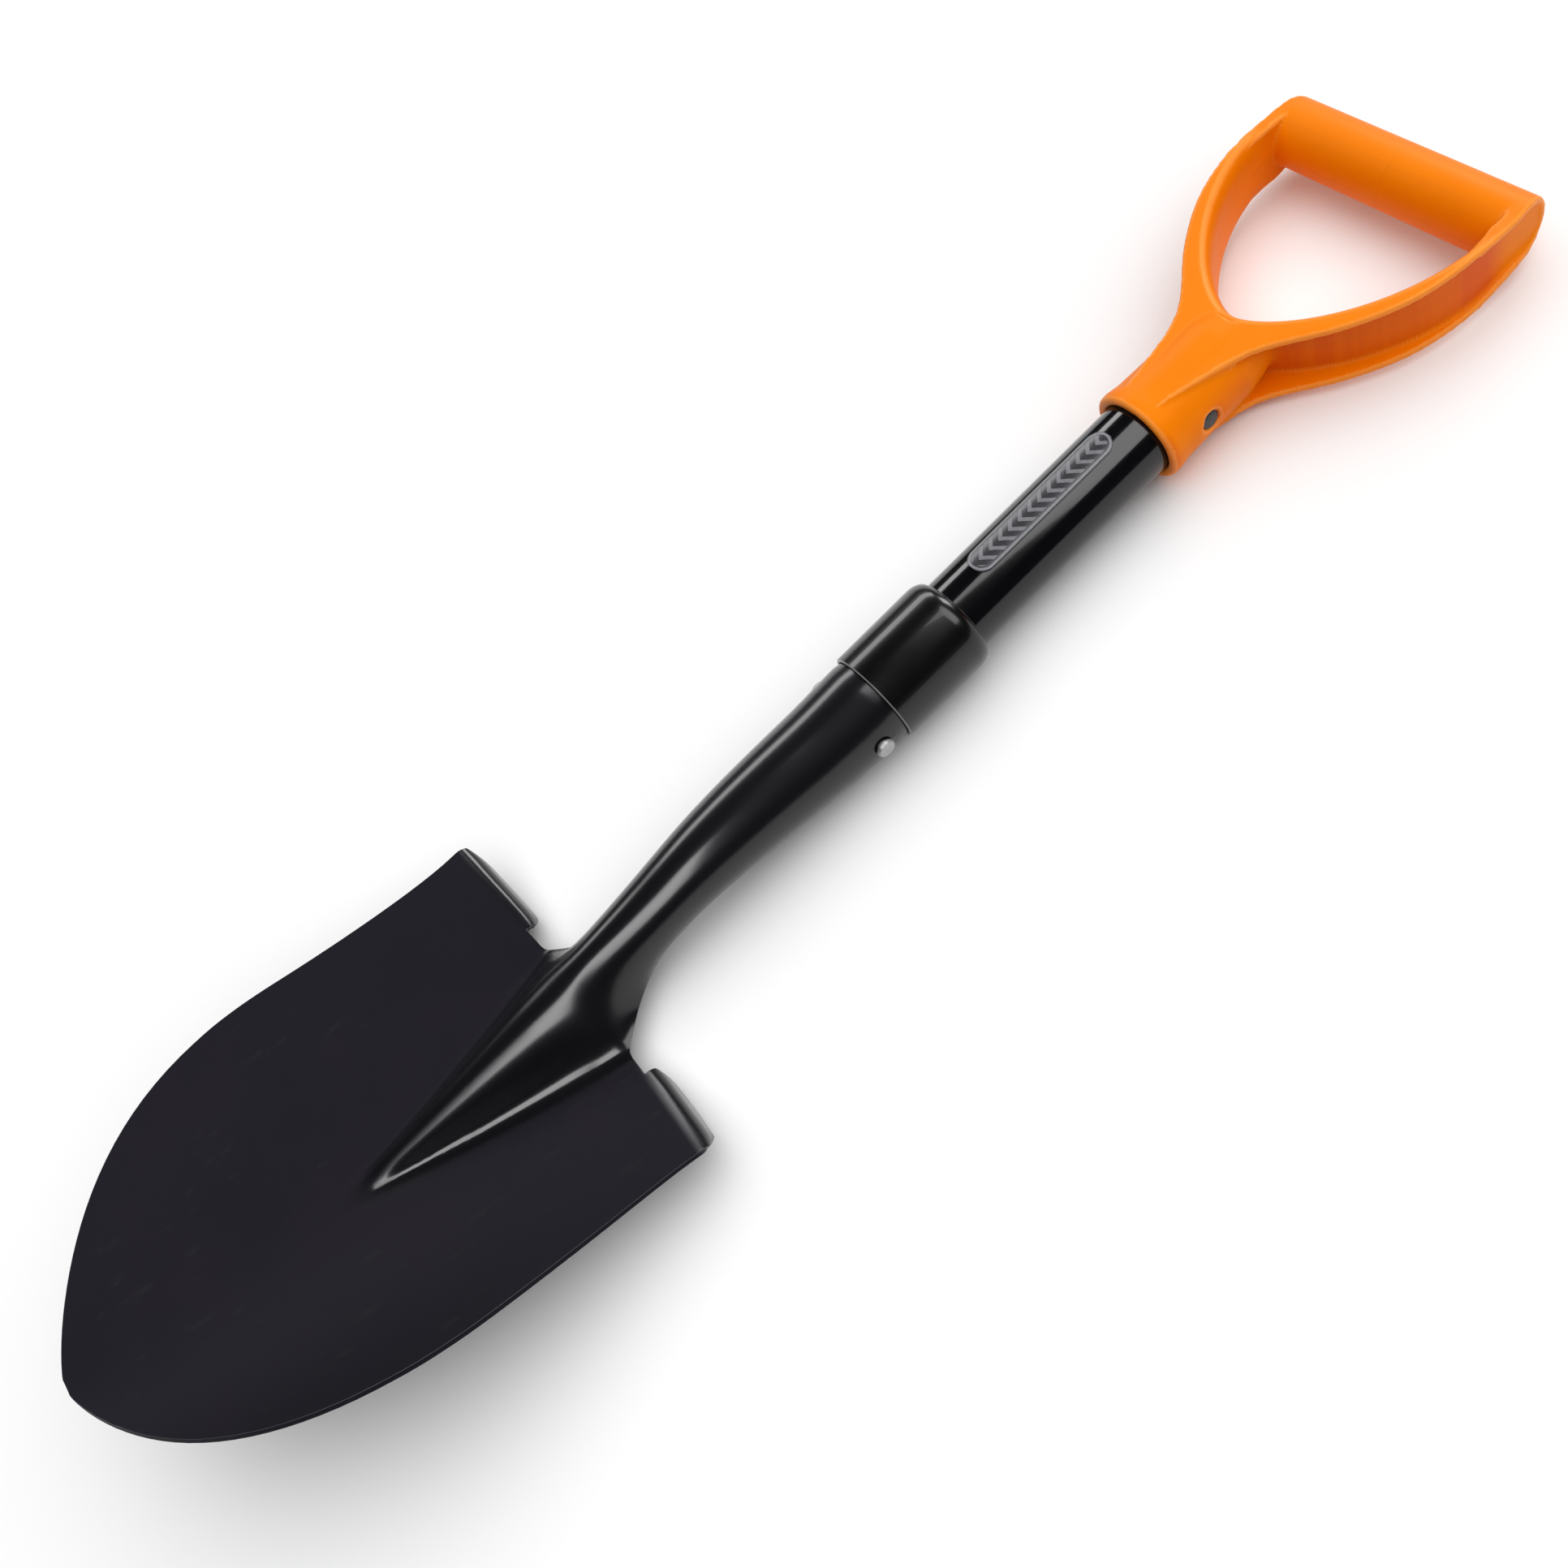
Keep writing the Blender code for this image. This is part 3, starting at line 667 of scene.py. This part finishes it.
def plate_half(x):
    """Half the grip's thickness so many millimetres from the foot steps."""
    share = ramp(x, *PLATE_TO_BAR)
    return PLATE_HALF + (BAR_HALF - PLATE_HALF) * share * share * (3 - 2 * share)


print("hand opening measured from x =", round(HAND.x / MM, 2), "mm")

# %% Round the rims of the hand opening
RIM_ACROSS, RIM_DEEP, RIM_FADE = 5.0, 8.0, (434, 420)
OPENING_START, OPENING_END, RIM_END = 350, 430, 434
WALL_HEIGHT, WALL_FACING = 8, 0.45
CREST_HIGHLIGHT_TURN, CREST_HIGHLIGHT_SPREAD, GRIP_SOFTENING = 68, 20, 7


def round_rims(piece):
    """Draw the opening's rims back to their rounding and store how near the crest a point is, as the
    share of a painted highlight.
    """
    points = piece.data.vertices
    wall = [point for point in points
            if abs(point.co.z - AXIS_Z) < WALL_HEIGHT * MM
            and point.normal.dot((HAND - flattened(point.co)).normalized()) > WALL_FACING
            and along(OPENING_START) < point.co.x < along(OPENING_END)]
    facings = [-flattened(point.normal) for point in wall]
    tree = finder([flattened(point.co) for point in wall])
    crest = [0.0] * len(points)
    for point in points:
        x, _, height = from_steps(point.co)
        floor_of_rim = plate_half(x) - RIM_DEEP
        if not OPENING_START < x < RIM_END or abs(height) < floor_of_rim:
            continue
        _, number, away = tree.find(flattened(point.co))
        across, rise = away / MM - RIM_ACROSS, abs(height) - floor_of_rim
        reach = ((across / RIM_ACROSS) ** 2 + (rise / RIM_DEEP) ** 2) ** 0.5
        if across < 0 and reach > 1:
            fade = ramp(x, *RIM_FADE)
            draw = (1 / reach - 1) * fade * MM
            point.co += facings[number].normalized() * across * draw
            point.co.z += (1 if height > 0 else -1) * rise * draw
            turn = degrees(atan2(rise / RIM_DEEP, -across / RIM_ACROSS))
            # A band at one turn round each rim's rounding is marked, where the finish paints a
            # highlight.
            crest[point.index] = max(1 - abs(turn - CREST_HIGHLIGHT_TURN) / CREST_HIGHLIGHT_SPREAD, 0.0) * fade
    store(piece, "crest", crest)
    return sum(value > 0 for value in crest)


print("points on the crest of a rim:", round_rims(grip))
soften(grip, GRIP_SOFTENING)

# %% [markdown]
# ## The channel round the D
#
# Outside the arms the moulding is a channel between two flanges. Little light gets into
# it, so the finish is painted darker there as shade. How deep a point lies in the channel
# is its distance from the nearest edge of a flange, and it is stored on the mesh for the
# finish to read.

# %% Measure the channel's depth
CHANNEL_DEPTH, CHANNEL_BLENDS = 1.3, 6
FLANGE_FACING, FLANGE_INSIDE, FLANGE_OUTSIDE = 0.4, 12.5, 15.0
CHANNEL_FACING, CHANNEL_UNDER, CHANNEL_ENDING = (0.15, 0.45), (13.5, 10.5), (438, 428)
BAR_START, BAR_HALF_LENGTH = 422, 47


def blended(piece, values):
    """Each point's value, evened out with those of the points that an edge joins it to."""
    sums, counts = list(values), [1] * len(values)
    for edge in piece.data.edges:
        one, other = edge.vertices
        sums[one] += values[other]
        sums[other] += values[one]
        counts[one] += 1
        counts[other] += 1
    return [total / count for total, count in zip(sums, counts)]


def measure_channel_shade(piece):
    """Store how deep in the channel each point lies, from 0 on a flange to 1 in its floor, as the
    share of painted shade.
    """
    points = piece.data.vertices
    outwards = [point.normal.dot((flattened(point.co) - HAND).normalized()) for point in points]
    tree = finder([flattened(point.co) for point, out in zip(points, outwards)
                   if out > FLANGE_FACING
                   and FLANGE_INSIDE < abs(from_steps(point.co)[2]) < FLANGE_OUTSIDE])
    shade_depths = []
    for point, out in zip(points, outwards):
        x, y, z = from_steps(point.co)
        depth = tree.find(flattened(point.co))[2] / MM
        share = (min(depth / CHANNEL_DEPTH, 1.0) * ramp(out, *CHANNEL_FACING)
                 * ramp(abs(z), *CHANNEL_UNDER) * ramp(x, *CHANNEL_ENDING))
        on_bar = x > BAR_START and abs(y) < BAR_HALF_LENGTH
        shade_depths.append(0.0 if on_bar else share)
    for _ in range(CHANNEL_BLENDS):
        shade_depths = blended(piece, shade_depths)
    store(piece, "channel", shade_depths)
    return sum(depth > 0.5 for depth in shade_depths)


print("points deep in the channel:", measure_channel_shade(grip))
hand_over(grip, "d_grip", "grip_orange", None, 0.55)

# %% [markdown]
# ## Rivets
#
# Each joint has one rivet right through it. It starts as a plain shank across the
# shovel. At both ends the flat face is widened to a head and then drawn out and in, ring
# by ring, into the low dome that the hammer left.

# %% Form the rivets
DOME = ((0.35, 1.0), (0.75, 0.86), (0.93, 0.62), (1.0, 0.3))


def riveted(name, node, head_radius, shank_radius, head_height):
    """A rivet right across a CAD rivet's box, its radii and the head's height in millimetres."""
    low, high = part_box(node)
    middle, length = (low + high) / 2, high.y - low.y
    bpy.ops.object.select_all(action="DESELECT")
    bpy.ops.mesh.primitive_cylinder_add(vertices=48, radius=shank_radius * MM,
                                        depth=length - 2 * head_height * MM,
                                        location=middle, rotation=(pi / 2, 0, 0))
    piece = bpy.context.object
    piece.name = name
    bpy.ops.object.transform_apply(location=True, rotation=True, scale=True)
    for side in (-1, 1):
        edit_all(piece)
        bpy.ops.mesh.select_all(action="DESELECT")
        leave_edit()
        end = max(piece.data.polygons, key=lambda face: side * face.center.y)
        end.select = True
        bpy.ops.object.mode_set(mode="EDIT")
        bpy.ops.mesh.select_mode(type="FACE")
        place = middle.y + side * (length / 2 - head_height * MM)
        for out, wide in ((0.0, head_radius / shank_radius), *DOME):
            bpy.ops.mesh.extrude_region_move(TRANSFORM_OT_translate={"value": (0, 0, 0)})
            target = middle.y + side * (length / 2 - head_height * MM * (1 - out))
            bpy.ops.transform.translate(value=(0, target - place, 0))
            bpy.ops.transform.resize(value=(wide, 1, wide),
                                     center_override=(middle.x, target, middle.z))
            place = target
        leave_edit()
    close_up(piece, TOUCHING)
    return piece


for name, node, head_height, finish in (("socket_joint_rivet", "socket_rivet", 2.0, "rivet_zinc"),
                                        ("grip_joint_rivet", "grip_rivet", 1.2, "rivet_dark")):
    rivet = riveted(name, node, head_radius=4.0, shank_radius=3.0, head_height=head_height)
    hand_over(rivet, node, "rivet_zinc", 35, finish=finish)

# %% [markdown]
# ## Label and cores
#
# The label is a film with round ends. Its CAD solid has the right bend but few points
# round its ends, so a copy is refined. The two plugs inside the tube already have their
# right shape and stay as they are, with a cast finish in their material slots.

# %% Refine the label and finish the cores
FILM_EDGE = 0.08
label = copy_of("shaft_label", "printed_label")
press(label, "BEVEL", width=FILM_EDGE * MM, segments=1, limit_method="ANGLE", angle_limit=radians(50))
press(label, "SUBSURF", levels=2, render_levels=2)
hand_over(label, "shaft_label", "label_film")
for node in ("socket_core", "grip_core"):
    nodes[node].data.materials.clear()
    nodes[node].data.materials.append(FINISHES["core"])
print("cores finished")

# %% [markdown]
# ## Floor
#
# The shovel lies on its back on a plain pale floor, which also throws soft light up
# under the neck and the grip.

# %% Lay the floor
FLOOR_SIZE = 12.0


def pale_floor():
    material, shader, place = start_finish("pale_floor")
    tone = mix(noise(place, 300.0, 3), solid(0.86, 0.86, 0.86), solid(0.89, 0.89, 0.89))
    finish_with(shader, {"Specular IOR Level": 0.1}, Base_Color=tone,
                Roughness=0.85 + 0.05 * noise(place, 40.0))
    return material


bpy.ops.object.select_all(action="DESELECT")
bpy.ops.mesh.primitive_plane_add(size=FLOOR_SIZE, location=(0, 0, 0))
floor = bpy.context.object
floor.name = "floor"
floor.data.materials.append(pale_floor())
print("floor laid")

# %% [markdown]
# ## Light
#
# Black gloss has almost no colour of its own: what one sees is the reflection of the
# lamps. One long softbox beyond the shovel draws the thin streaks along neck, tube and
# collar, and a narrow one on the near side draws the broad light along the frog's ridge.
# Two more light the mouth of the grip and the treads. The softboxes are seen in
# reflections alone. A wide, soft sky lights the matt colours and the floor evenly, and is
# hidden from reflections, so that the gloss stays deep.

# %% Hang the softboxes
def softbox(name, away, distance, size, power, spin=0.0):
    """A rectangular lamp in the direction away, facing the shovel; its first side runs along X."""
    data = bpy.data.lights.new(name, "AREA")
    data.shape = "RECTANGLE"
    data.size, data.size_y = size
    data.energy = power
    lamp = bpy.data.objects.new(name, data)
    bpy.context.collection.objects.link(lamp)
    back = Vector(away).normalized()
    side = (Vector((1, 0, 0)) - back * back.x).normalized()
    facing = Matrix((side, back.cross(side), back)).transposed().to_4x4()
    lamp.matrix_world = (Matrix.Translation(back * distance) @ facing
                         @ Matrix.Rotation(radians(spin), 4, "Z"))
    lamp.visible_diffuse = False


softbox("streak_softbox", (0.23, 0.83, 0.56), 1.5, (1.60, 0.38), 12)
softbox("ridge_softbox", (-0.326, -0.458, 0.826), 1.44, (0.28, 0.90), 8, -15)
softbox("mouth_softbox", (0.50, -0.28, 0.82), 1.4, (0.60, 1.15), 9, 15)
softbox("tread_softbox", (0.86, 0.25, 0.42), 1.5, (0.60, 0.45), 8)
SKY_POWER, SKY_SPREAD, SKY_SIDE = 3.7, 110, (0.25, -0.05, 1.0)
sky = bpy.data.objects.new("overhead_fill", bpy.data.lights.new("overhead_fill", "SUN"))
bpy.context.collection.objects.link(sky)
sky.data.energy = SKY_POWER
sky.data.angle = radians(SKY_SPREAD)
sky.matrix_world = Vector(SKY_SIDE).to_track_quat("Z", "Y").to_matrix().to_4x4()
sky.visible_glossy = False

# %% [markdown]
# ## Studio walls
#
# The walls beyond the floor look as pale as the floor does. In the gloss of the enamel
# they are dark, as black cloths hung beside the set would make them, and so the black
# stays black.

# %% Paint the walls
CLOTHS, WALLS = solid(0.02, 0.02, 0.022), solid(0.96, 0.96, 0.96)
world = bpy.data.worlds.new("studio")
bpy.context.scene.world = world
world.use_nodes = True
Wire.tree = world.node_tree
seen = Wire.node("LightPath", output="Is Camera Ray")
backdrop = mix(seen, CLOTHS, WALLS)
Wire.tree.links.new(backdrop.socket, world.node_tree.nodes["Background"].inputs["Color"])
print("walls painted")

# %% [markdown]
# ## Camera
#
# The camera looks steeply down from the shovel's right side and is rolled, so that the
# shaft runs from the lower left to the upper right corner. Five plain values place it:
# the point it looks at, how far away it is, its turn, its height and its roll.

# %% Place the camera
AIM = Vector((-0.01176, 0.0139, 0.0))
DISTANCE, AZIMUTH, ELEVATION, ROLL, LENS = 0.613, -4.91, 56.95, -40.52, 35.4
camera = bpy.data.objects.new("camera", bpy.data.cameras.new("camera"))
bpy.context.collection.objects.link(camera)
view = (Matrix.Rotation(radians(AZIMUTH), 4, "Z") @ Matrix.Rotation(radians(90 - ELEVATION), 4, "X")
        @ Matrix.Rotation(radians(ROLL), 4, "Z"))
camera.matrix_world = Matrix.Translation(AIM + view.to_3x3() @ Vector((0, 0, DISTANCE))) @ view
camera.data.lens = LENS
camera.data.clip_start = 0.01
bpy.context.scene.camera = camera
bpy.context.scene.view_settings.view_transform = "Standard"
print("camera at", [round(value, 4) for value in camera.matrix_world.translation])
